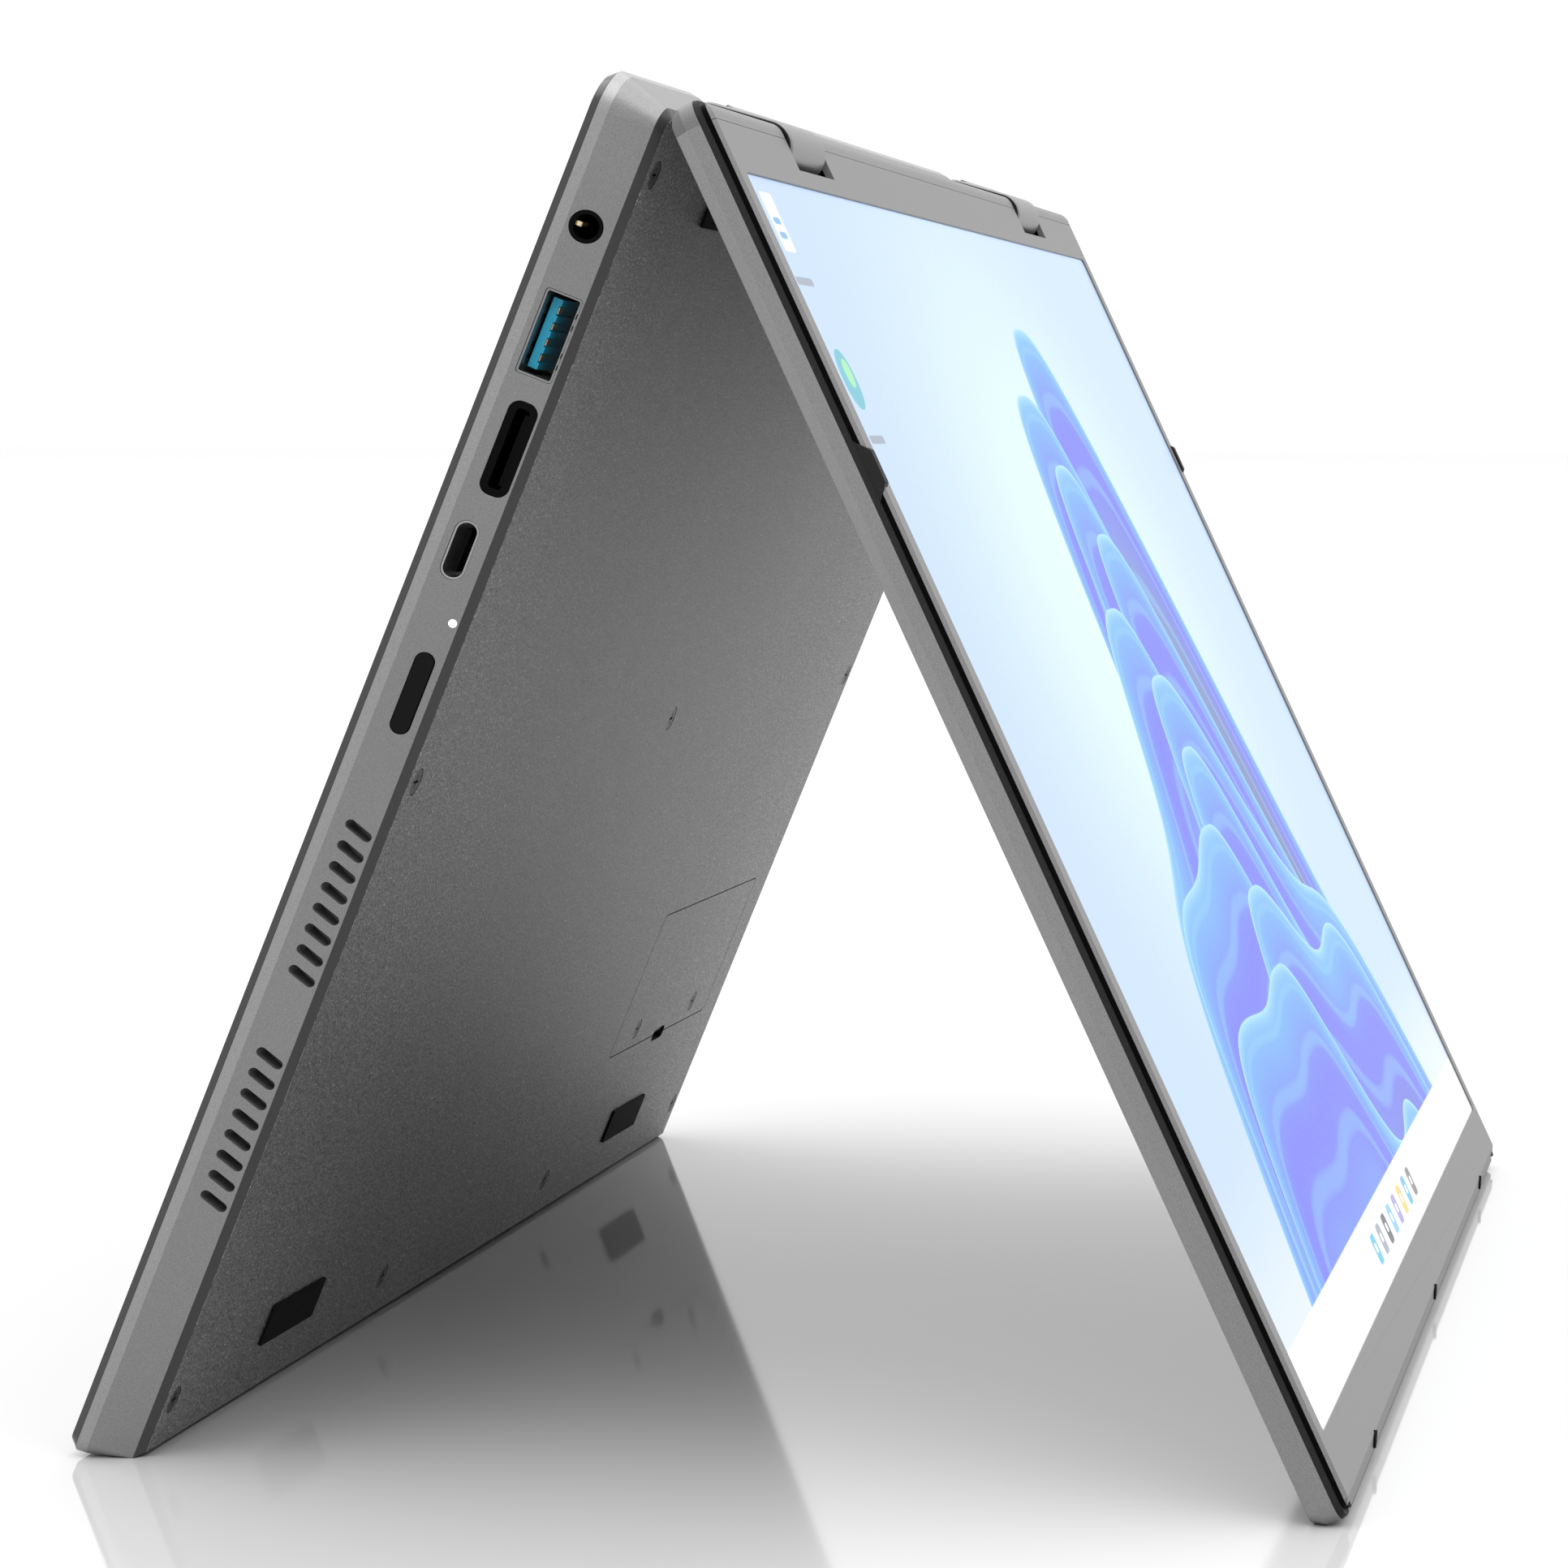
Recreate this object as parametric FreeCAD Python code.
import FreeCAD, Part
import math
import os

Vector = FreeCAD.Vector

# ---------------------------------------------------------------------------
# Convertible laptop: base and lid joined by two double-shaft hinges, standing
# as a tent.  Millimetres.  World frame: X along the hinge, +Z up, the screen
# looks towards -Y and the keyboard towards +Y; origin under the middle.
#
# The base is drawn in its own frame (x, u, h): u runs from the hinge end to
# the front edge and h from the bottom cover to the keyboard deck.  The lid is
# drawn in (x, v, t): v from the hinge end to the free edge and t from the
# bezel to the back cover.  Closed, the two frames are parallel.
# ---------------------------------------------------------------------------

# Overall sizes
WIDTH = 322.0
BASE_DEPTH = 218.6
BASE_THICK = 10.9
LID_DEPTH = 218.9
LID_THICK = 6.4
DISPLAY_W = 312.3
DISPLAY_H = 195.2
DISPLAY_V = 12.0            # hinge end of the lid to the active screen

# Hinge geometry
CLOSED_GAP = 0.7            # deck to bezel when shut
FOLDED_GAP = 1.3            # bottom cover to back cover when folded right round
BASE_AXIS_U = 3.2
LID_AXIS_V = 3.5
LID_AXIS_T = 3.35
AXIS_SPACING = (BASE_THICK + LID_THICK + CLOSED_GAP + FOLDED_GAP) / 2
BASE_AXIS_H = BASE_THICK + CLOSED_GAP + LID_AXIS_T - AXIS_SPACING
BASE_OPENING = 180.0        # base hinge at rest, degrees open from shut
TOTAL_OPENING = 312.4       # base to lid at rest
HINGE_X = 102.5             # hinge modules are at +-HINGE_X
NOTCH_W = 25.4
BASE_NOTCH = 7.6
LID_NOTCH = 9.1
LINK_W = 24.2
LINK_BASE_R = 3.2           # barrel of the link round the base's axis
LINK_LID_R = 4.2            # and round the lid's
LINK_EDGE_R = 0.6
SHAFT_R = 1.4
SHAFT_CLEARANCE = 0.05
ARM_L = 15.5                # shaft and leaf reach this far beside a notch
NOTCH_WALL = 1.8

# Outer form: how far the wall stands in from the widest outline, by height
BASE_PROFILE = [(0.0, 3.7), (1.3, 2.4), (7.8, 0.25), (9.5, 0.0), (10.9, 1.2)]
LID_PROFILE = [(0.0, 0.9), (0.6, 0.45), (1.4, 0.25), (2.3, 0.0), (4.5, 0.0), (6.4, 1.1)]
BASE_CORNERS = (6.0, 2.5)   # plan radii at the hinge end and at the front
LID_CORNERS = (3.0, 3.0)
NOSE_R = 3.0                # rounding of the lid's hinge end
COVER_T = 1.3               # bottom cover
TRIM_H = 9.5                # deck trim starts here
TRIM_IN = 2.2
DECK_UNDER = 8.6
WALL_IN = 5.0               # cavity stands in this far from the outline
FIT = 0.05                  # gap between pieces that slot together
RAIL_END = 149.0            # the side rails run round the corners to this distance
SLIP = 0.15                 # gap round a piece that moves in an opening

# Layers of the lid, by depth behind the bezel's face
GLASS_TOP = 0.35
BEZEL_T = 0.6
GLASS_BACK = 1.1
SEAL_T = 1.4
RIM_T = 2.3
PANEL_BACK = 3.6
PANEL = (316.0, 10.5, 210.0)
RING_IN = 2.6               # rim and seal end this far in from the outline
SEAM_V = 3.9                # hinge cap to bezel and back cover
BACK_T = 1.1
EDGE_IN = 2.9               # bevel along the bezel's free edge: crease to outline
EDGE_BEVEL = (2.4, 1.3)     # its run and its drop
LIP = (157.0, 3.2)          # thick lip behind the bevel: half length and depth

# Keyboard, in the user's sense: the user's left is +X
UNIT = 19.05
KEY_GAP = 2.7
KEY_TOP = BASE_THICK
KEY_LOW = 9.85
KEY_TRAVEL = 1.1
ROW_FN = 12.0
KEYS_U0 = 29.0
FRAME_TOP = 10.2
WELL_MARGIN = 1.0
FIELD_W = 15 * UNIT
FIELD_D = ROW_FN + 5 * UNIT
KEY_PLATE_T = 1.0

# Touchpad
PAD_W = 122.0
PAD_U0 = 142.5
PAD_U1 = 213.0
PAD_T = 1.5
PAD_GAP = 0.4
PAD_CORNER = 3.0
PAD_SUNK = 0.2

# Side openings, centre (u, h) and size along u and h
JACK = (22.1, 4.95)
JACK_R = 2.4
JACK_BORE = 1.8
JACK_SPRINGS = ((1.7, 4.4), (5.0, 7.8))  # where the two contacts start and end, from the wall
JACK_SPRING_SET = 0.1       # they stand back this far from the bore
JACK_SPRING_T = 0.18
USB_A = (38.4, 4.25)
USB_A_SIZE = (12.9, 5.3)
USB_A_PITCH = 2.4
CARD = (55.6, 3.75)
CARD_SIZE = (14.4, 4.2)
CARD_SLOT = (12.2, 1.9)
CARD_CORNER = 1.7
USB_C = (71.7, 4.95)
USB_C_SIZE = (9.0, 3.5)
LED = (82.0, 2.2)
LED_R = 0.6
BUTTON = (93.6, 3.85)
BUTTON_SIZE = (12.4, 2.6)
SHELL_T = 0.3
VENT_STARTS = (115.3, 151.7)
VENT_COUNT = 8
VENT_PITCH = 3.31
VENT_SIZE = (1.5, 4.3)
VENT_SLANT = 20.0
VENT_H = 3.85

# Underside
FOOT_X = 104.5
FOOT_SIZE = (25.4, 7.0)
FOOT_H = 0.45
FOOT_CORNER = 0.5
FOOT_ROWS = (14.5, 202.5)
DOOR = (66.5, 145.2, 152.9, 183.4)
DOOR_GAP = 0.25
SCREW_X = 153.5
SCREWS = [(-SCREW_X, 11.9), (SCREW_X, 11.9), (-SCREW_X, 106.4), (SCREW_X, 106.4),
          (-SCREW_X, 207.0), (SCREW_X, 207.0), (-51.5, 207.2), (51.5, 207.2),
          (0.0, 106.4), (0.0, 11.9)]
PLATE_SCREW = (0.0, 106.4)  # this one goes into the keyboard plate
DOOR_SCREWS = [(82.8, 179.4), (128.8, 179.4)]
SCREW_HEAD_R = 2.1
SCREW_HEAD_T = 0.7
SCREW_R = 0.9
SCREW_L = 5.0
BOSS_R = 2.9
DOTS_X = (-118.0, 0.0, 118.0)
DOT_R = 1.35
DOT_DEEP = 0.25
DOT_PROUD = 0.35
DOT_PLACE = 0.4             # share of the way down the bevel
BUMP_V = 58.0               # side bumps on the lid rim, centre and lengths
BUMP_LONG = 11.5
BUMP_SHORT = 5.0
EXHAUST_X = (-80.0, 52.0)
EXHAUST_PITCH = 2.2
EXHAUST_R = 0.45
EXHAUST_H = 4.6

FAN_X = -52.0
FAN_U = 52.0
FAN_R = 21.0
FAN_H = (2.0, 7.4)


# ---------------------------------------------------------------------------
# Shape helpers
# ---------------------------------------------------------------------------
def rounded_wire(x0, x1, y0, y1, r0, r1, z):
    """Rounded rectangle at height z; r0 rounds the corners at y0, r1 at y1."""
    r0 = max(r0, 0.05)
    r1 = max(r1, 0.05)
    k = 1 - math.sqrt(0.5)

    def p(x, y):
        return Vector(x, y, z)

    edges = [Part.LineSegment(p(x0 + r0, y0), p(x1 - r0, y0)).toShape()]
    edges.append(Part.Arc(p(x1 - r0, y0), p(x1 - r0 * k, y0 + r0 * k), p(x1, y0 + r0)).toShape())
    edges.append(Part.LineSegment(p(x1, y0 + r0), p(x1, y1 - r1)).toShape())
    edges.append(Part.Arc(p(x1, y1 - r1), p(x1 - r1 * k, y1 - r1 * k), p(x1 - r1, y1)).toShape())
    edges.append(Part.LineSegment(p(x1 - r1, y1), p(x0 + r1, y1)).toShape())
    edges.append(Part.Arc(p(x0 + r1, y1), p(x0 + r1 * k, y1 - r1 * k), p(x0, y1 - r1)).toShape())
    edges.append(Part.LineSegment(p(x0, y1 - r1), p(x0, y0 + r0)).toShape())
    edges.append(Part.Arc(p(x0, y0 + r0), p(x0 + r0 * k, y0 + r0 * k), p(x0 + r0, y0)).toShape())
    return Part.Wire(edges)


def rounded_plate(x0, x1, y0, y1, r, z0, z1):
    """Flat plate with rounded corners between heights z0 and z1."""
    face = Part.Face(rounded_wire(x0, x1, y0, y1, r, r, z0))
    return face.extrude(Vector(0, 0, z1 - z0))


def box(x0, x1, y0, y1, z0, z1):
    return Part.makeBox(x1 - x0, y1 - y0, z1 - z0, Vector(x0, y0, z0))


def cylinder(r, x, y, z0, z1):
    return Part.makeCylinder(r, z1 - z0, Vector(x, y, z0), Vector(0, 0, 1))


def rod(r, x0, x1, y, z):
    """Cylinder along X."""
    return Part.makeCylinder(r, x1 - x0, Vector(x0, y, z), Vector(1, 0, 0))


def outline(depth, corners, inset, z):
    """Plan outline of the base or lid, standing in by inset."""
    half = WIDTH / 2 - inset
    return rounded_wire(-half, half, inset, depth - inset,
                        corners[0] - inset, corners[1] - inset, z)


def inset_at(profile, z):
    for (z0, i0), (z1, i1) in zip(profile, profile[1:]):
        if z0 <= z <= z1:
            return i0 + (i1 - i0) * (z - z0) / (z1 - z0)
    return profile[-1][1]


def banded(depth, corners, profile, z0, z1, extra=0.0):
    """Solid with the profile's sloping side bands, from height z0 to z1."""
    cuts = [z0] + [z for z, _ in profile if z0 < z < z1] + [z1]
    bands = []
    for low, high in zip(cuts, cuts[1:]):
        wires = [outline(depth, corners, inset_at(profile, z) + extra, z) for z in (low, high)]
        bands.append(Part.makeLoft(wires, True, True))
    solid = bands[0]
    for band in bands[1:]:
        solid = solid.fuse(band)
    return solid


def prism(depth, corners, inset, z0, z1):
    """Straight-sided block inside the plan outline."""
    return Part.Face(outline(depth, corners, inset, z0)).extrude(Vector(0, 0, z1 - z0))


def compound(solids):
    return Part.makeCompound(solids)


def cut_all(solid, tools):
    return solid.cut(tools)


def mirror_x(shape):
    return shape.mirror(Vector(0, 0, 0), Vector(1, 0, 0))


def both_sides(shape):
    return [shape, mirror_x(shape)]


def pill_x(u, h, length, height, x0, x1, r=None):
    """Rounded bar with its outline in the side wall's plane, running along X."""
    if r is None:
        r = min(length, height) / 2 - 0.01
    wire = rounded_wire(-length / 2, length / 2, -height / 2, height / 2, r, r, 0)
    bar = Part.Face(wire).extrude(Vector(0, 0, x1 - x0))
    turn = FreeCAD.Rotation(Vector(0, 1, 0), Vector(0, 0, 1), Vector(1, 0, 0), "ZXY")
    bar.Placement = FreeCAD.Placement(Vector(x0, u, h), turn)
    return bar


# ---------------------------------------------------------------------------
# Notches for the two hinge modules
# ---------------------------------------------------------------------------
def notches(reach, low, high, margin=0.0):
    half = NOTCH_W / 2 + margin
    return both_sides(box(HINGE_X - half, HINGE_X + half, -5, reach + margin, low, high))


def shaft_room(place, height, leaf_end, leaf_gap, half_leaf):
    """Bores for the shafts on one axis, and slots for the leaves that hold them."""
    inner = HINGE_X - NOTCH_W / 2
    bore = rod(SHAFT_R + SHAFT_CLEARANCE, inner - ARM_L - 0.5, inner + 1, place, height)
    slot = box(inner - ARM_L - 0.5, inner - leaf_gap, place, leaf_end,
               height - half_leaf, height + half_leaf)
    return both_sides(bore), both_sides(slot)


# ---------------------------------------------------------------------------
# Base
# ---------------------------------------------------------------------------
def base_band(z0, z1, extra=0.0):
    return banded(BASE_DEPTH, BASE_CORNERS, BASE_PROFILE, z0, z1, extra)


def base_prism(inset, z0, z1):
    return prism(BASE_DEPTH, BASE_CORNERS, inset, z0, z1)


def vent_slots(depth_in):
    """Slanted slots through the side wall, in two groups."""
    slots = []
    for start in VENT_STARTS:
        for i in range(VENT_COUNT):
            slot = pill_x(0, 0, VENT_SIZE[0], VENT_SIZE[1], -WIDTH / 2 - 1, -WIDTH / 2 + depth_in)
            slot.rotate(Vector(0, 0, 0), Vector(1, 0, 0), VENT_SLANT)
            slot.translate(Vector(0, start + i * VENT_PITCH, VENT_H))
            slots.append(slot)
    return slots


def port_places():
    """Sides on which each kind of port appears: -1 is the side at -X."""
    return {"usb_a": (-1, 1), "usb_c": (-1, 1)}


def on_side(shape, side):
    return shape if side < 0 else mirror_x(shape)


def wall_openings():
    edge = -WIDTH / 2 - 1
    back = -WIDTH / 2 + 6
    cuts = []
    places = port_places()
    for side in places["usb_a"]:
        cuts.append(on_side(pill_x(*USB_A, *USB_A_SIZE, edge, back, 0.5), side))
    for side in places["usb_c"]:
        cuts.append(on_side(pill_x(*USB_C, *USB_C_SIZE, edge, back), side))
    cuts.append(pill_x(*CARD, *CARD_SIZE, edge, back, CARD_CORNER))
    cuts.append(rod(JACK_R, edge, back, *JACK))
    cuts.append(rod(LED_R, edge, back, *LED))
    cuts.append(pill_x(*BUTTON, BUTTON_SIZE[0] + 2 * SLIP, BUTTON_SIZE[1] + 2 * SLIP, edge, back))
    slots = vent_slots(8)
    cuts += slots + [mirror_x(s) for s in slots]
    return cuts


def exhaust_holes():
    count = int((EXHAUST_X[1] - EXHAUST_X[0]) / EXHAUST_PITCH)
    holes = []
    for i in range(count):
        x = EXHAUST_X[0] + i * EXHAUST_PITCH
        holes.append(Part.makeCylinder(EXHAUST_R, 8, Vector(x, -1, EXHAUST_H), Vector(0, 1, 0)))
    return holes


def key_field():
    return (-FIELD_W / 2, FIELD_W / 2, KEYS_U0, KEYS_U0 + FIELD_D)


def screw_boss(x, u):
    """Boss for one cover screw; those along an edge are ribbed to its wall."""
    boss = cylinder(BOSS_R, x, u, 0, 12)
    if abs(x) < SCREW_X:
        reach = BASE_DEPTH if u > BASE_DEPTH / 2 else 0.0
        boss = boss.fuse(box(x - 1.5, x + 1.5, min(u, reach), max(u, reach), 0, 12))
    return boss


def make_side_frame():
    """Four rails, face to face, with screw bosses, hinge pockets and every side opening."""
    low = base_prism(WALL_IN, COVER_T - 1, DECK_UNDER)
    low = cut_all(low, notches(BASE_NOTCH, 0, BASE_THICK, NOTCH_WALL))
    low = cut_all(low, [screw_boss(x, u) for x, u in SCREWS if (x, u) != PLATE_SCREW])
    high = base_prism(WALL_IN, DECK_UNDER, TRIM_H + 1)
    tools = [low, high] + notches(BASE_NOTCH, -1, BASE_THICK) + wall_openings() + exhaust_holes()
    tools += [cylinder(SCREW_R, x, u, 0, COVER_T + SCREW_L) for x, u in SCREWS]
    bore, slot = shaft_room(BASE_AXIS_U, BASE_AXIS_H, WALL_IN + 1, 1.8, 0.9)
    frame = cut_all(base_band(COVER_T, TRIM_H), tools + bore + slot)
    middle = BASE_DEPTH / 2
    rooms = [box(-WIDTH, -RAIL_END, -1, BASE_DEPTH + 1, 0, TRIM_H + 1),
             box(RAIL_END, WIDTH, -1, BASE_DEPTH + 1, 0, TRIM_H + 1),
             box(-RAIL_END, RAIL_END, -1, middle, 0, TRIM_H + 1),
             box(-RAIL_END, RAIL_END, middle, BASE_DEPTH + 1, 0, TRIM_H + 1)]
    return [frame.common(room) for room in rooms]


def make_deck_plate():
    """Keyboard deck: a plate let into the side frame, open at the keys and the touchpad."""
    plate = base_prism(WALL_IN + FIT, DECK_UNDER, TRIM_H).fuse(base_prism(TRIM_IN, TRIM_H, BASE_THICK))
    x0, x1, u0, u1 = key_field()
    well = rounded_plate(x0 - WELL_MARGIN, x1 + WELL_MARGIN, u0 - WELL_MARGIN, u1 + WELL_MARGIN,
                         2.5, DECK_UNDER - 1, BASE_THICK + 1)
    half = PAD_W / 2 + PAD_GAP
    pad = rounded_plate(-half, half, PAD_U0 - PAD_GAP, PAD_U1 + PAD_GAP,
                        PAD_CORNER + PAD_GAP, DECK_UNDER - 1, BASE_THICK + 1)
    return cut_all(plate, [well, pad] + notches(BASE_NOTCH, -1, BASE_THICK + 1))


def make_deck_trim():
    """Dark bevelled strip round the edge of the deck."""
    ring = base_band(TRIM_H, BASE_THICK).cut(base_prism(TRIM_IN, TRIM_H - 1, BASE_THICK + 1))
    return cut_all(ring, notches(BASE_NOTCH, -1, 12))


def door_plan(grow, z0, z1):
    x0, x1, u0, u1 = DOOR
    return rounded_plate(x0 - grow, x1 + grow, u0 - grow, u1 + grow, 1.5 + grow, z0, z1)


def finger_notch(z0, z1):
    x = (DOOR[0] + DOOR[1]) / 2
    return rounded_plate(x - 4.5, x + 4.5, DOOR[3] - 1.2, DOOR[3] + 1.6, 1.2, z0, z1)


def screw_recess(x, u, z=0.0):
    """Countersunk seat and clearance hole for one cover screw."""
    head = cylinder(SCREW_HEAD_R + 0.1, x, u, z - 1, z + SCREW_HEAD_T)
    return [head, cylinder(SCREW_R + 0.15, x, u, z, COVER_T + 1)]


def make_bottom_cover():
    """Flat cover with a sloping edge, a drive door and screw seats."""
    body = base_band(0, COVER_T)
    tools = notches(BASE_NOTCH, -1, 12) + [door_plan(DOOR_GAP, -1, 3), finger_notch(-1, 3)]
    for x, u in SCREWS:
        tools += screw_recess(x, u)
    return cut_all(body, tools)


def make_drive_door():
    door = door_plan(0, 0, 1.1).cut(finger_notch(-1, 0.6))
    tools = []
    for x, u in DOOR_SCREWS:
        tools += screw_recess(x, u)
    return cut_all(door, tools)


def make_screw(x, u, length):
    """Pan screw: flat head with a cross recess, shank up into its boss."""
    head = cylinder(SCREW_HEAD_R, x, u, 0.05, SCREW_HEAD_T)
    shank = cylinder(SCREW_R - 0.02, x, u, SCREW_HEAD_T - 0.1, length)
    screw = head.fuse(shank)
    arms = [box(x - 1.1, x + 1.1, u - 0.18, u + 0.18, -0.5, 0.4),
            box(x - 0.18, x + 0.18, u - 1.1, u + 1.1, -0.5, 0.4)]
    return cut_all(screw, arms)


def make_screws():
    """Ten long screws for the cover and two short ones for the drive door."""
    screws = [make_screw(x, u, COVER_T + SCREW_L - 0.4) for x, u in SCREWS]
    return screws + [make_screw(x, u, 2.2) for x, u in DOOR_SCREWS]


def make_feet():
    """Four flat rubber bars."""
    feet = []
    for x in (-FOOT_X, FOOT_X):
        for u in FOOT_ROWS:
            feet.append(rounded_plate(x - FOOT_SIZE[0] / 2, x + FOOT_SIZE[0] / 2, u - FOOT_SIZE[1] / 2,
                                      u + FOOT_SIZE[1] / 2, FOOT_CORNER, -FOOT_H, 0))
    return feet


# ---------------------------------------------------------------------------
# Keyboard and touchpad
# ---------------------------------------------------------------------------
def key_rows():
    """Rows from the hinge side: (u0, depth, widths in units), the user's left first."""
    rows = [(KEYS_U0, ROW_FN, [1] * 15)]
    widths = [[1] * 13 + [2],
              [1.5] + [1] * 12 + [1.5],
              [1.75] + [1] * 11 + [2.25],
              [2.25] + [1] * 10 + [2.75]]
    for i, row in enumerate(widths):
        rows.append((KEYS_U0 + ROW_FN + i * UNIT, UNIT, row))
    return rows


def key_cell(start, width, u0, depth):
    """Cell in world X; the user's left edge of the field is at +X."""
    x1 = FIELD_W / 2 - start * UNIT
    return (x1 - width * UNIT, x1, u0, u0 + depth)


def bottom_row():
    """Modifiers, space bar and the arrow cluster, as (node, cell) pairs."""
    u0 = KEYS_U0 + ROW_FN + 4 * UNIT
    cells = []
    start = 0.0
    for node, width in [("left_modifier_keys", 1.25), ("left_modifier_keys", 1),
                        ("left_modifier_keys", 1), ("left_modifier_keys", 1.25),
                        ("space_bar", 5.5), ("right_modifier_keys", 1), ("right_modifier_keys", 1)]:
        cells.append((node, key_cell(start, width, u0, UNIT)))
        start += width
    half = UNIT / 2
    cells.append(("arrow_keys", key_cell(12, 1, u0 + half, half)))
    cells.append(("arrow_keys", key_cell(13, 1, u0, half)))
    cells.append(("arrow_keys", key_cell(13, 1, u0 + half, half)))
    cells.append(("arrow_keys", key_cell(14, 1, u0 + half, half)))
    return cells


def key_cells():
    """Every key as (node, cell)."""
    names = [("function_keys",) * 15,
             ("number_keys",) * 13 + ("backspace_key",),
             ("tab_key",) + ("upper_letter_keys",) * 12 + ("backslash_key",),
             ("caps_lock_key",) + ("home_letter_keys",) * 11 + ("enter_key",),
             ("left_shift_key",) + ("lower_letter_keys",) * 10 + ("right_shift_key",)]
    cells = []
    for (u0, depth, widths), nodes in zip(key_rows(), names):
        start = 0.0
        for node, width in zip(nodes, widths):
            cells.append((node, key_cell(start, width, u0, depth)))
            start += width
    return cells + bottom_row()


def key_solid(cell, grow, z0, z1):
    x0, x1, u0, u1 = cell
    gap = KEY_GAP / 2 - grow
    short = min(x1 - x0, u1 - u0) < UNIT * 0.7
    gap_u = gap * 0.6 if short else gap
    return rounded_plate(x0 + gap, x1 - gap, u0 + gap_u, u1 - gap_u, 1.3 + grow, z0, z1)


def make_keys():
    keys = {}
    for node, cell in key_cells():
        cap = key_solid(cell, 0, KEY_LOW, KEY_TOP)
        top = [e for e in cap.Edges if min(v.Z for v in e.Vertexes) > KEY_TOP - 0.01]
        keys.setdefault(node, []).append(cap.makeChamfer(0.25, top))
    return keys


def make_keyboard_frame():
    """Web between the keys, set into the deck's well."""
    x0, x1, u0, u1 = key_field()
    m = WELL_MARGIN - 0.1
    frame = rounded_plate(x0 - m, x1 + m, u0 - m, u1 + m, 2.4, DECK_UNDER, FRAME_TOP)
    holes = [key_solid(cell, 0.35, DECK_UNDER - 1, FRAME_TOP + 1) for _, cell in key_cells()]
    return cut_all(frame, holes)


def make_keyboard_plate():
    x0, x1, u0, u1 = key_field()
    plate = rounded_plate(x0 - 5, x1 + 5, u0 - 5, u1 + 4, 2, DECK_UNDER - KEY_PLATE_T, DECK_UNDER)
    plate = plate.fuse(cylinder(BOSS_R, *PLATE_SCREW, COVER_T, DECK_UNDER - 0.5))
    return plate.cut(cylinder(SCREW_R, *PLATE_SCREW, 0, COVER_T + SCREW_L))


def make_touchpad():
    top = BASE_THICK - PAD_SUNK
    pad = rounded_plate(-PAD_W / 2, PAD_W / 2, PAD_U0, PAD_U1, PAD_CORNER, top - PAD_T, top)
    edges = [e for e in pad.Edges if min(v.Z for v in e.Vertexes) > top - 0.01]
    return pad.makeChamfer(0.25, edges)


# ---------------------------------------------------------------------------
# Ports and controls in the side walls
# ---------------------------------------------------------------------------
def flush(shape, extra):
    """Trim a port piece to the sloping wall, standing in by extra."""
    return shape.common(base_band(COVER_T, TRIM_H, extra))


def make_usb_a():
    length, height = USB_A_SIZE[0] - 0.1, USB_A_SIZE[1] - 0.1
    x0 = -WIDTH / 2
    outer = pill_x(*USB_A, length, height, x0, x0 + 15.5, 0.5)
    inner = pill_x(*USB_A, length - 2 * SHELL_T, height - 2 * SHELL_T, x0, x0 + 15.0, 0.3)
    springs = []
    for du in (-3.9, -2.1, 2.1, 3.9):
        u = USB_A[0] + du
        springs.append(box(x0 + 2.4, x0 + 7, u - 0.4, u + 0.4, USB_A[1] - 4, USB_A[1] + 4))
    shell = flush(cut_all(outer.cut(inner), springs), 0.15)
    face = USB_A[1] + 0.7
    tongue = box(x0 + 3.4, x0 + 15.0, USB_A[0] - 5.3, USB_A[0] + 5.3, face, USB_A[1] + 1.9)
    for i in range(5):
        u = USB_A[0] + (i - 2) * USB_A_PITCH
        tongue = tongue.fuse(box(x0 + 3.4, x0 + 12, u - 0.5, u + 0.5, face - 0.3, face + 0.1))
    contacts = []
    for i in range(4):
        u = USB_A[0] + (i - 1.5) * USB_A_PITCH
        contacts.append(box(x0 + 3.8, x0 + 5.6, u - 0.5, u + 0.5, face - 0.15, face))
    return shell, tongue.removeSplitter(), contacts


def make_usb_c():
    length, height = USB_C_SIZE[0] - 0.1, USB_C_SIZE[1] - 0.1
    x0 = -WIDTH / 2
    outer = pill_x(*USB_C, length, height, x0, x0 + 10.5)
    inner = pill_x(*USB_C, length - 2 * SHELL_T, height - 2 * SHELL_T, x0, x0 + 10.0)
    shell = flush(outer.cut(inner), 0.15)
    tongue = box(x0 + 2.4, x0 + 10.0, USB_C[0] - 3.3, USB_C[0] + 3.3, USB_C[1] - 0.35, USB_C[1] + 0.35)
    return shell, tongue


def make_card_slot():
    """Black slot insert with its contact bed."""
    x0 = -WIDTH / 2
    outer = pill_x(*CARD, CARD_SIZE[0] - 0.1, CARD_SIZE[1] - 0.1, x0, x0 + 17, CARD_CORNER - 0.05)
    slot = pill_x(*CARD, *CARD_SLOT, x0, x0 + 16, 0.6)
    bed = box(x0 + 2.2, x0 + 15, CARD[0] - 5.4, CARD[0] + 5.4, CARD[1] - 0.95, CARD[1] - 0.3)
    return flush(outer.cut(slot), 0.1), bed


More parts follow.
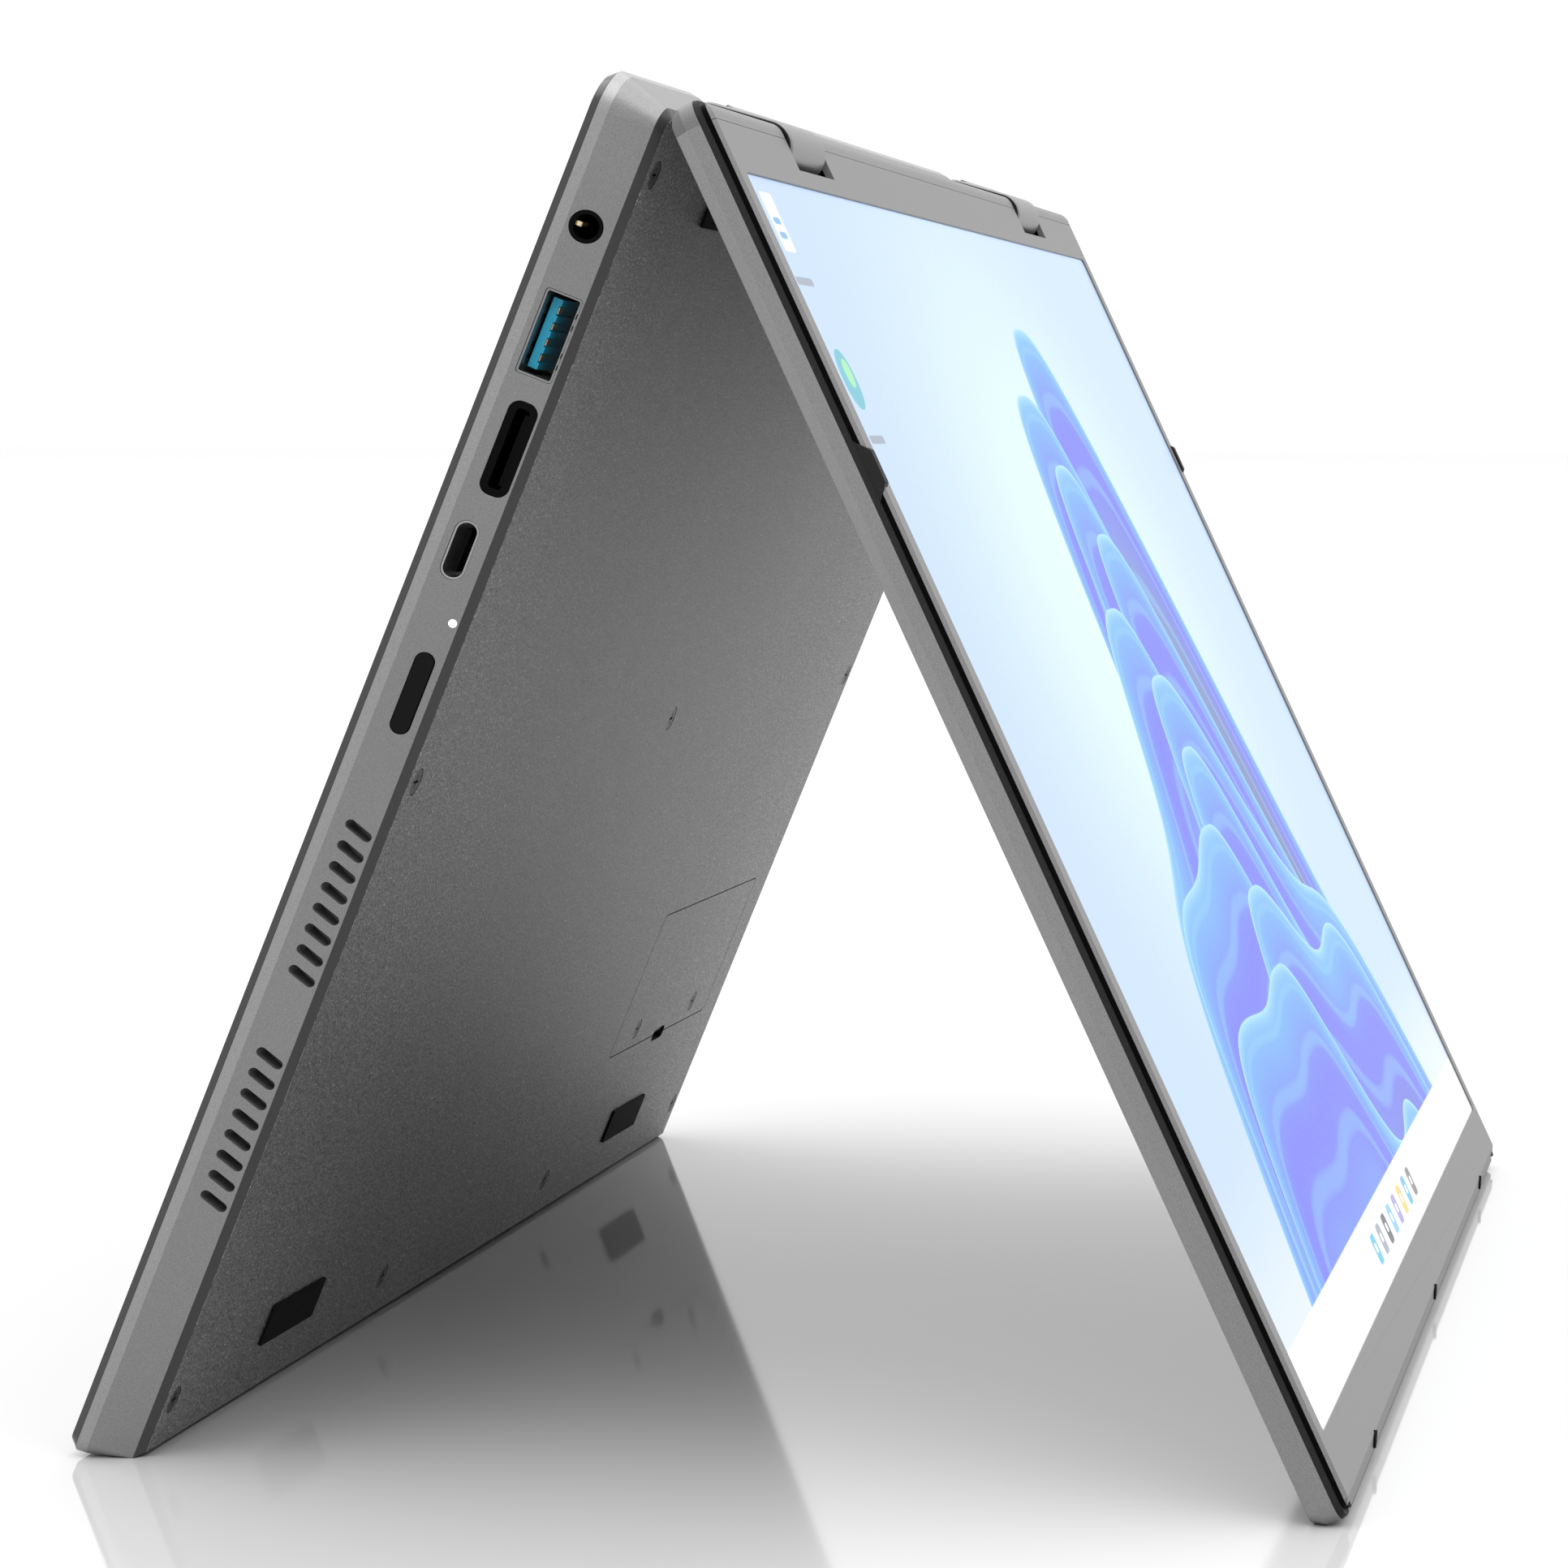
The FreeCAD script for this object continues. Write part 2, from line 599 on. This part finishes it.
def make_audio_jack():
    """Sleeve round a 3.6 mm bore, with two contact springs let into its wall."""
    x0 = -WIDTH / 2
    body = rod(JACK_R - 0.05, x0, x0 + 14, *JACK)
    body = body.fuse(box(x0 + 6.2, x0 + 16, JACK[0] - 3.0, JACK[0] + 3.0, JACK[1] - 3.0, JACK[1] + 2.6))
    body = body.cut(rod(JACK_BORE, x0 - 1, x0 + 14.5, *JACK))
    top = JACK[1] + JACK_BORE
    pocket = box(x0 + 1.6, x0 + 7.9, JACK[0] - 0.4, JACK[0] + 0.4, JACK[1] + 1.4, top + 0.3)
    contacts = []
    low = top + JACK_SPRING_SET
    for start, stop in JACK_SPRINGS:
        contacts.append(box(x0 + start, x0 + stop, JACK[0] - 0.35, JACK[0] + 0.35, low, low + JACK_SPRING_T))
    return flush(body.cut(pocket), 0.1), contacts


def make_power_button():
    x0 = -WIDTH / 2
    button = pill_x(*BUTTON, *BUTTON_SIZE, x0, x0 + 4.4)
    return button.common(base_band(COVER_T, TRIM_H, -0.12))


def make_status_light():
    x0 = -WIDTH / 2
    return flush(rod(LED_R - 0.02, x0, x0 + 7, *LED), 0.02)


# ---------------------------------------------------------------------------
# Inside the base
# ---------------------------------------------------------------------------
def make_battery():
    """Three flat cells in one tray."""
    cells = []
    for i in range(3):
        x = -128.0 + i * 62.5
        cells.append(rounded_plate(x, x + 61.0, 118.0, 138.0 + 62.0, 2, COVER_T + 0.4, 6.4))
    return cells


def make_mainboard():
    board = rounded_plate(-145.0, 140.0, 33.0, 112.0, 2, 3.6, 4.6)
    room = cylinder(FAN_R + 6.0, FAN_X, FAN_U, 0, 12)
    tools = [room, cylinder(BOSS_R + 0.5, 0, 106.4, 0, 12)]
    tools += [cylinder(BOSS_R + 0.5, x, u, 0, 12) for x, u in SCREWS if abs(x) > 100]
    tools.append(box(-150, -141.5, 30, 80, 0, 12))
    processor = rounded_plate(10.0, 40.0, 50.0, 72.0, 1, 2.6, 3.6)
    return cut_all(board, tools).fuse(processor)


def make_heat_pipe():
    """Flat pipe from the processor to the fins, with its spreader plate."""
    spreader = rounded_plate(6.0, 44.0, 46.0, 76.0, 2, 2.0, 2.6)
    run = box(21.0, 29.0, 17.0, 46.5, 2.0, 2.6)
    rise = box(-24.0, 29.0, 17.0, 24.0, 2.0, 2.6)
    return spreader.fuse(run).fuse(rise)


def make_fins():
    """Stack of fins behind the exhaust row."""
    base = box(-78.0, 50.0, 17.0, 24.0, 2.6, 3.0)
    fins = [base]
    for i in range(54):
        x = -77.0 + i * 2.35
        fins.append(box(x, x + 0.5, 17.0, 24.0, 2.9, 7.2))
    return fins[0].multiFuse(fins[1:]).cut(box(FAN_X - 4, FAN_X + 4, 23.5, 30, 0, 9))


def make_fan_housing():
    low, high = FAN_H
    outer = cylinder(FAN_R + 3, FAN_X, FAN_U, low, high)
    outer = outer.fuse(box(FAN_X - 18, FAN_X + 18, FAN_U - 27, FAN_U, low, high))
    room = cylinder(FAN_R + 1.5, FAN_X, FAN_U, low + 0.5, high - 0.5)
    duct = box(FAN_X - 16.5, FAN_X + 16.5, FAN_U - 28, FAN_U, low + 0.5, high - 0.5)
    eye = cylinder(FAN_R * 0.62, FAN_X, FAN_U, high - 1, high + 1)
    post = cylinder(1.0, FAN_X, FAN_U, low, high - 2.0)
    return outer.cut(room.fuse(duct)).cut(eye).fuse(post)


def make_fan_rotor():
    low, high = FAN_H[0] + 1.0, FAN_H[1] - 1.0
    hub = cylinder(7.0, FAN_X, FAN_U, low, high)
    blades = []
    for i in range(19):
        blade = box(FAN_X + 6.5, FAN_X + FAN_R - 0.5, FAN_U - 0.35, FAN_U + 0.35, low, high - 0.3)
        blade.rotate(Vector(FAN_X, FAN_U, 0), Vector(0, 0, 1), i * 360 / 19)
        blades.append(blade)
    return hub.multiFuse(blades).cut(cylinder(1.08, FAN_X, FAN_U, 0, high - 0.7))


def make_drive():
    """Storage stick with three chips, notched for its fixing screw."""
    board = box(66.0, 146.0, 157.0, 179.0, 2.4, 3.2).cut(cylinder(1.8, 146.0, 168.0, 0, 9))
    chips = [rounded_plate(x, x + 14, 160.0, 176.0, 0.4, 1.5, 2.4) for x in (74.0, 92.0, 110.0)]
    return board.multiFuse(chips)


def make_speakers():
    boxed = rounded_plate(-155.4, -147.0, 113.5, 178.0, 2, 1.6, 7.4)
    return both_sides(boxed)


def make_side_board():
    """Small board that carries the ports at the -X side."""
    return rounded_plate(-155.8, -148.2, 19.2, 100.0, 0.5, 7.7, 8.4)


def make_base_arms():
    """Shaft of each hinge module and the leaf that carries it in the base."""
    inner = HINGE_X - NOTCH_W / 2
    shaft = rod(SHAFT_R, inner - ARM_L, HINGE_X + LINK_W / 2 - 1.0, BASE_AXIS_U, BASE_AXIS_H)
    leaf = box(inner - ARM_L, inner - 2.2, BASE_AXIS_U, 16.0, BASE_AXIS_H - 0.8, BASE_AXIS_H + 0.8)
    return shaft, leaf.cut(shaft)


# ---------------------------------------------------------------------------
# Lid
# ---------------------------------------------------------------------------
def lid_nose():
    """Block that rounds the lid's hinge end along its whole width."""
    wire = rounded_wire(0, LID_DEPTH + 20, 0, LID_THICK, NOSE_R, NOSE_R, 0)
    bar = Part.Face(wire).extrude(Vector(0, 0, WIDTH + 10))
    turn = FreeCAD.Rotation(Vector(0, 1, 0), Vector(0, 0, 1), Vector(1, 0, 0), "ZXY")
    bar.Placement = FreeCAD.Placement(Vector(-WIDTH / 2 - 5, 0, 0), turn)
    return bar


def lid_band(z0, z1, extra=0.0):
    return banded(LID_DEPTH, LID_CORNERS, LID_PROFILE, z0, z1, extra).common(lid_nose())


def lid_prism(inset, z0, z1):
    return prism(LID_DEPTH, LID_CORNERS, inset, z0, z1)


def lid_cuts():
    return notches(LID_NOTCH, -1, LID_THICK + 1)


def make_back_cover():
    """Dished metal cover behind the screen."""
    body = lid_band(RIM_T, LID_THICK)
    floor = LID_THICK - BACK_T
    room = lid_prism(RING_IN, RIM_T - 1, floor)
    room = cut_all(room, notches(LID_NOTCH, 0, 12, 1.2))
    room = room.cut(box(-WIDTH, WIDTH, -1, SEAM_V + 1.2, 0, 12))
    body = body.cut(room).cut(box(-WIDTH, WIDTH, -1, SEAM_V, 0, 12))
    return cut_all(body, lid_cuts() + lid_shaft_room())


def lid_shaft_room():
    bore, slot = shaft_room(LID_AXIS_V, LID_AXIS_T, 10.2, 1.0, 0.75)
    return bore + slot


def make_hinge_cap():
    """Rounded bar that closes the lid's hinge end between and beside the notches."""
    body = lid_band(0, LID_THICK).cut(box(-WIDTH, WIDTH, SEAM_V, LID_DEPTH + 1, -1, 12))
    body = body.cut(lid_prism(-1, BEZEL_T, RIM_T).cut(lid_prism(RING_IN, 0, LID_THICK)))
    return cut_all(body, lid_cuts() + lid_shaft_room())


def make_bump(side):
    """Bump that stands proud of the bezel to meet the deck."""
    x0 = side * (WIDTH / 2 - RING_IN)
    x1 = side * (WIDTH / 2 - 0.35)
    low = [Vector(x0, BUMP_V + s * BUMP_LONG / 2, RIM_T) for s in (-1, 1)]
    high = [Vector(x0, BUMP_V + s * BUMP_SHORT / 2, -0.45) for s in (1, -1)]
    face = Part.Face(Part.makePolygon(low + high + low[:1]))
    return face.extrude(Vector(x1 - x0, 0, 0))


def make_rim():
    """Dark rubber rim between the back cover and the bezel, with two side bumps."""
    ring = lid_band(SEAL_T, RIM_T).cut(lid_prism(RING_IN, 0, LID_THICK))
    for side in (-1, 1):
        ring = ring.fuse(make_bump(side))
    return cut_all(ring, lid_cuts() + lid_shaft_room())


def make_seal():
    """Thin set-back seal that shows as a dark groove."""
    ring = lid_prism(1.1, BEZEL_T, SEAL_T).cut(lid_prism(RING_IN, 0, LID_THICK)).common(lid_nose())
    bumps = [make_bump(side) for side in (-1, 1)]
    return cut_all(ring, lid_cuts() + bumps + [lip_block()])


def lip_block():
    """Room of the bezel's thick lip, between the face layer and the rim."""
    return box(-LIP[0], LIP[0], LID_DEPTH - LIP[1], LID_DEPTH, BEZEL_T, SEAL_T)


def edge_wedge():
    """What the bevel takes off along the bezel's free edge."""
    run, drop = EDGE_BEVEL
    crease = LID_DEPTH - EDGE_IN
    low = crease - run / drop
    high = crease + run * SEAL_T / drop
    points = [(low, -1), (high, SEAL_T), (LID_DEPTH + 5, SEAL_T), (LID_DEPTH + 5, -1), (low, -1)]
    face = Part.Face(Part.makePolygon([Vector(-WIDTH, v, t) for v, t in points]))
    return face.extrude(Vector(2 * WIDTH, 0, 0))


def display_plan(grow, r, z0, z1):
    return rounded_plate(-DISPLAY_W / 2 - grow, DISPLAY_W / 2 + grow, DISPLAY_V - grow,
                         DISPLAY_V + DISPLAY_H + grow, r, z0, z1)


def make_bezel():
    """Grey frame round the screen, thicker round the glass and along its free edge."""
    body = lid_band(0, BEZEL_T).fuse(lid_prism(RING_IN + FIT, BEZEL_T, GLASS_BACK))
    body = body.fuse(lid_band(BEZEL_T, SEAL_T).common(lip_block()))
    body = body.cut(box(-WIDTH, WIDTH, -1, SEAM_V + 0.08, -1, LID_THICK))
    bumps = [make_bump(side) for side in (-1, 1)]
    tools = [display_plan(0, 1.2, -1, SEAL_T + 1), edge_wedge()]
    return cut_all(body, tools + lid_cuts() + bumps + make_dots()).removeSplitter()


def make_dots():
    """Rubber dots let into the bevel along the free edge."""
    run, drop = EDGE_BEVEL
    out = Vector(0, drop, -run).normalize()
    dots = []
    for x in DOTS_X:
        middle = Vector(x, LID_DEPTH - EDGE_IN + run * DOT_PLACE, drop * DOT_PLACE)
        dots.append(Part.makeCylinder(DOT_R, DOT_DEEP + DOT_PROUD, middle - out * DOT_DEEP, out))
    return dots


def make_glass():
    return display_plan(-0.04, 1.16, GLASS_TOP, GLASS_BACK)


def make_panel():
    """Backlit panel behind the glass, with its driver board along the free edge."""
    width, v0, v1 = PANEL
    panel = rounded_plate(-width / 2, width / 2, v0, v1, 1.0, GLASS_BACK, PANEL_BACK)
    return panel.fuse(box(-110.0, 110.0, 196.0, 208.0, PANEL_BACK, PANEL_BACK + 0.8))


def make_magnets():
    return [box(x - 8, x + 8, 211.2, 214.6, 3.0, 5.2) for x in (-125.0, -90.0, 90.0, 125.0)]


def make_lid_arms():
    inner = HINGE_X - NOTCH_W / 2
    shaft = rod(SHAFT_R, inner - ARM_L, HINGE_X + LINK_W / 2 - 1.0, LID_AXIS_V, LID_AXIS_T)
    leaf = box(inner - ARM_L, inner - 1.4, LID_AXIS_V, 10.0, LID_AXIS_T - 0.65, LID_AXIS_T + 0.65)
    return shaft, leaf.cut(shaft)


# ---------------------------------------------------------------------------
# Hinge link, drawn as it stands when the laptop is shut, in the base's frame
# ---------------------------------------------------------------------------
def make_link():
    """Block round both shafts, wider at the lid's, with one bore for each."""
    x0 = HINGE_X - LINK_W / 2
    x1 = HINGE_X + LINK_W / 2
    heights = (BASE_AXIS_H, BASE_AXIS_H + AXIS_SPACING)
    radii = (LINK_BASE_R, LINK_LID_R)
    barrels = [rod(r, x0, x1, BASE_AXIS_U, h) for r, h in zip(radii, heights)]
    lean = (LINK_BASE_R - LINK_LID_R) / AXIS_SPACING
    flat = math.sqrt(1 - lean ** 2)
    corners = [(side * r * flat, h + r * lean) for r, h in zip(radii, heights) for side in (-1, 1)]
    order = [corners[i] for i in (0, 1, 3, 2, 0)]
    face = Part.Face(Part.makePolygon([Vector(x0, BASE_AXIS_U + u, h) for u, h in order]))
    block = barrels[0].fuse(barrels[1]).fuse(face.extrude(Vector(LINK_W, 0, 0))).removeSplitter()
    ends = [e for e in block.Edges if all(abs(abs(v.X - HINGE_X) - LINK_W / 2) < 0.01 for v in e.Vertexes)]
    block = block.makeFillet(LINK_EDGE_R, ends)
    bores = [rod(SHAFT_R + SHAFT_CLEARANCE, x0 - 1, x1 - 0.9, BASE_AXIS_U, h) for h in heights]
    return cut_all(block, bores)


# ---------------------------------------------------------------------------
# Standing pose
# ---------------------------------------------------------------------------
def turned(y, z, degrees):
    a = math.radians(degrees)
    return (y * math.cos(a) - z * math.sin(a), y * math.sin(a) + z * math.cos(a))


def lid_axis_in_base():
    dy, dz = turned(0, AXIS_SPACING, BASE_OPENING)
    return (BASE_AXIS_U + dy, BASE_AXIS_H + dz)


def lid_point_in_base(v, t):
    axis = lid_axis_in_base()
    dy, dz = turned(v - LID_AXIS_V, t - LID_AXIS_T, TOTAL_OPENING)
    return (axis[0] + dy, axis[1] + dz)


def standing_tilt():
    """Turn of the base that puts its front edge and the lid's free edge level."""
    base_edge = (BASE_DEPTH - BASE_PROFILE[1][1], BASE_PROFILE[1][0])
    lid_edge = lid_point_in_base(LID_DEPTH - LID_PROFILE[4][1], LID_PROFILE[4][0])
    angle = math.degrees(math.atan((lid_edge[1] - base_edge[1]) / (lid_edge[0] - base_edge[0])))
    return -(angle % 180)


def pose(pivot_local, pivot_world, degrees):
    """Turn about X through pivot_local, then carry that pivot to pivot_world."""
    turn = FreeCAD.Rotation(Vector(1, 0, 0), degrees)
    moved = turn.multVec(Vector(0, *pivot_local))
    return FreeCAD.Placement(Vector(0, *pivot_world) - moved, turn)


def standing_poses():
    """Placements of base, link and lid, before the origin is set."""
    tilt = standing_tilt()
    base_axis = (0.0, 0.0)
    lid_axis = turned(0, AXIS_SPACING, tilt + BASE_OPENING)
    base = pose((BASE_AXIS_U, BASE_AXIS_H), base_axis, tilt)
    link = pose((BASE_AXIS_U, BASE_AXIS_H), base_axis, tilt + BASE_OPENING)
    lid = pose((LID_AXIS_V, LID_AXIS_T), lid_axis, tilt + TOTAL_OPENING)
    return {"base": base, "link": link, "lid": lid}, base_axis, lid_axis, tilt


def base_nodes():
    usb_a, tongue_a, pins_a = make_usb_a()
    usb_c, tongue_c = make_usb_c()
    card, card_bed = make_card_slot()
    jack, jack_pins = make_audio_jack()
    shaft, leaf = make_base_arms()
    nodes = {
        "side_frame": make_side_frame(),
        "deck_plate": [make_deck_plate()],
        "deck_trim": [make_deck_trim()],
        "bottom_cover": [make_bottom_cover()],
        "drive_door": [make_drive_door()],
        "cover_screws": make_screws(),
        "rubber_feet": make_feet(),
        "keyboard_frame": [make_keyboard_frame()],
        "keyboard_plate": [make_keyboard_plate()],
        "touchpad": [make_touchpad()],
        "usb_a_shells": both_sides(usb_a),
        "usb_a_tongues": both_sides(tongue_a),
        "usb_a_contacts": pins_a + [mirror_x(p) for p in pins_a],
        "usb_c_shells": both_sides(usb_c),
        "usb_c_tongues": both_sides(tongue_c),
        "card_slot": [card],
        "card_slot_bed": [card_bed],
        "audio_jack": [jack],
        "audio_jack_contacts": jack_pins,
        "status_light": [make_status_light()],
        "power_button": [make_power_button()],
        "battery_cells": make_battery(),
        "mainboard": [make_mainboard()],
        "heat_pipe": [make_heat_pipe()],
        "heat_fins": [make_fins()],
        "fan_housing": [make_fan_housing()],
        "fan_rotor": [make_fan_rotor()],
        "storage_drive": [make_drive()],
        "speakers": make_speakers(),
        "port_board": [make_side_board()],
        "base_hinge_shafts": both_sides(shaft),
        "base_hinge_leaves": both_sides(leaf),
    }
    nodes.update(make_keys())
    return nodes


def lid_nodes():
    shaft, leaf = make_lid_arms()
    return {
        "back_cover": [make_back_cover()],
        "hinge_cap": [make_hinge_cap()],
        "lid_rim": [make_rim()],
        "screen_seal": [make_seal()],
        "bezel": [make_bezel()],
        "screen_glass": [make_glass()],
        "screen_panel": [make_panel()],
        "rubber_dots": make_dots(),
        "lid_magnets": make_magnets(),
        "lid_hinge_shafts": both_sides(shaft),
        "lid_hinge_leaves": both_sides(leaf),
    }


def main():
    os.makedirs("parts", exist_ok=True)
    poses, base_axis, lid_axis, tilt = standing_poses()
    groups = {"base": base_nodes(), "link": {"hinge_links": both_sides(make_link())}, "lid": lid_nodes()}
    placed = {}
    for group, nodes in groups.items():
        for name, solids in nodes.items():
            shape = compound([s for part in solids for s in part.Solids])
            shape.Placement = poses[group]
            placed[name] = shape
    bounds = FreeCAD.BoundBox()
    for shape in placed.values():
        bounds.add(shape.optimalBoundingBox(True, False))
    shift = Vector(-(bounds.XMin + bounds.XMax) / 2, -(bounds.YMin + bounds.YMax) / 2, -bounds.ZMin)
    for name, shape in placed.items():
        shape.translate(shift)
        shape.exportStep("parts/%s.step" % name)
        valid = all(s.isValid() for s in shape.Solids)
        print("%-22s solids %3d  volume %9.1f  valid %s" % (name, len(shape.Solids), shape.Volume, valid))
    print("nodes", len(placed), "tilt %.4f" % tilt)
    print("size %.3f %.3f %.3f" % (bounds.XLength, bounds.YLength, bounds.ZLength))
    print("base axis y z %.4f %.4f" % (base_axis[0] + shift.y, base_axis[1] + shift.z))
    print("lid axis y z %.4f %.4f" % (lid_axis[0] + shift.y, lid_axis[1] + shift.z))


main()
